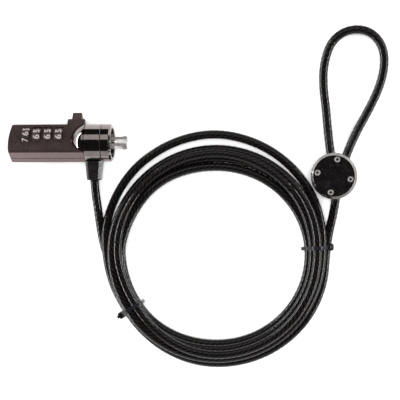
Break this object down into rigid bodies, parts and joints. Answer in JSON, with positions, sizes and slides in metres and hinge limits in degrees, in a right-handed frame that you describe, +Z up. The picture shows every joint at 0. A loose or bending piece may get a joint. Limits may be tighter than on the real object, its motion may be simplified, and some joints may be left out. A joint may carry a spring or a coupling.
{
  "type": "laptop cable lock",
  "caption": "Combination cable lock for a laptop security slot: dial body with push button, swivel collar, hooked prongs, and a coiled coated steel cable that ends in a clamped loop.",
  "frame": {"origin": "on the surface the lock lies on, under the middle of the lock head with its cable boot", "axes": "+X along the barrel axis, from the dial body towards the prongs; +Z up"},
  "size_m": [0.1989, 0.18, 0.02],
  "materials": {
    "gunmetal": "satin",
    "black_nickel": "polished",
    "bright_steel": "polished",
    "dial_black": "satin",
    "button_dark": "satin",
    "boot_black": "satin",
    "cable_coating": "gloss",
    "tie_nylon": "matte",
    "clamp_metal": "polished",
    "clamp_black": "satin",
    "screw_steel": "polished",
    "inner_steel": "plain",
    "inner_brass": "plain"
  },
  "bodies": {
    "cable_side": {"swivel_collar": "black_nickel", "cable_boot": "boot_black", "cable_ferrule": "inner_steel", "cable_lead": "cable_coating", "cable_coil": "cable_coating", "cable_tail": "cable_coating", "cable_loop": "cable_coating", "coil_tie_right": "tie_nylon", "coil_tie_left": "tie_nylon", "clamp_base": "clamp_metal", "clamp_cap": "clamp_metal", "clamp_faceplate": "clamp_black", "clamp_screws": "screw_steel"},
    "housing": {"upper_shell": "gunmetal", "lower_shell": "gunmetal", "shell_screws": "screw_steel", "detent_comb": "inner_steel", "barrel_core": "black_nickel", "prong_pins": "inner_steel", "nose_cap": "black_nickel", "nose_plate": "black_nickel"},
    "button": {"push_button": "button_dark"},
    "locking_slide": {"code_spindle": "inner_steel", "slide_link": "inner_steel", "spreader_pin": "inner_steel", "return_spring": "inner_steel"},
    "prong_a": {"prong_upper": "bright_steel"},
    "prong_b": {"prong_lower": "bright_steel"},
    "reset": {"reset_screw": "screw_steel"},
    "dial_1": {"dial_1": "dial_black", "code_sleeve_1": "inner_brass"},
    "dial_2": {"dial_2": "dial_black", "code_sleeve_2": "inner_brass"},
    "dial_3": {"dial_3": "dial_black", "code_sleeve_3": "inner_brass"},
    "dial_4": {"dial_4": "dial_black", "code_sleeve_4": "inner_brass"}
  },
  "joints": [
    {"name": "collar_swivel", "type": "hinge", "parent": "cable_side", "child": "housing", "pos_m": [0.00955, 0.00148, 0.01], "axis": [1, 0, 0], "continuous": true},
    {"name": "dial_1_turn", "type": "hinge", "parent": "housing", "child": "dial_1", "pos_m": [-0.02205, 0.00381, 0.01062], "axis": [1, 0, 0], "continuous": true},
    {"name": "dial_2_turn", "type": "hinge", "parent": "housing", "child": "dial_2", "pos_m": [-0.0162, 0.00381, 0.01062], "axis": [1, 0, 0], "continuous": true},
    {"name": "dial_3_turn", "type": "hinge", "parent": "housing", "child": "dial_3", "pos_m": [-0.01035, 0.00381, 0.01062], "axis": [1, 0, 0], "continuous": true},
    {"name": "dial_4_turn", "type": "hinge", "parent": "housing", "child": "dial_4", "pos_m": [-0.0045, 0.00381, 0.01062], "axis": [1, 0, 0], "continuous": true},
    {"name": "button_press", "type": "slide", "parent": "housing", "child": "button", "axis": [0, -0.866, 0.5], "range_m": [0, 0.0026], "stiffness_N_per_m": 600, "springref_m": -0.0015},
    {"name": "slide_travel", "type": "slide", "parent": "housing", "child": "locking_slide", "axis": [1, 0, 0], "range_m": [0, 0.0026], "deforming": ["return_spring"]},
    {"name": "prong_a_spread", "type": "hinge", "parent": "housing", "child": "prong_a", "pos_m": [0.01455, 0.00361, 0.00877], "axis": [0, 0.5, 0.866], "range_deg": [0, 3.3]},
    {"name": "prong_b_spread", "type": "hinge", "parent": "housing", "child": "prong_b", "pos_m": [0.01455, -0.00064, 0.01123], "axis": [0, -0.5, -0.866], "range_deg": [0, 3.3]},
    {"name": "reset_turn", "type": "hinge", "parent": "housing", "child": "reset", "pos_m": [-0.03045, 0.00381, 0.01062], "axis": [1, 0, 0], "range_deg": [0, 90]}
  ],
  "couplings": [
    {"joint": "slide_travel", "follows": "button_press", "ratio": 1},
    {"joint": "prong_a_spread", "follows": "button_press", "rad_per_m": 21.817},
    {"joint": "prong_b_spread", "follows": "button_press", "rad_per_m": 21.817}
  ]
}
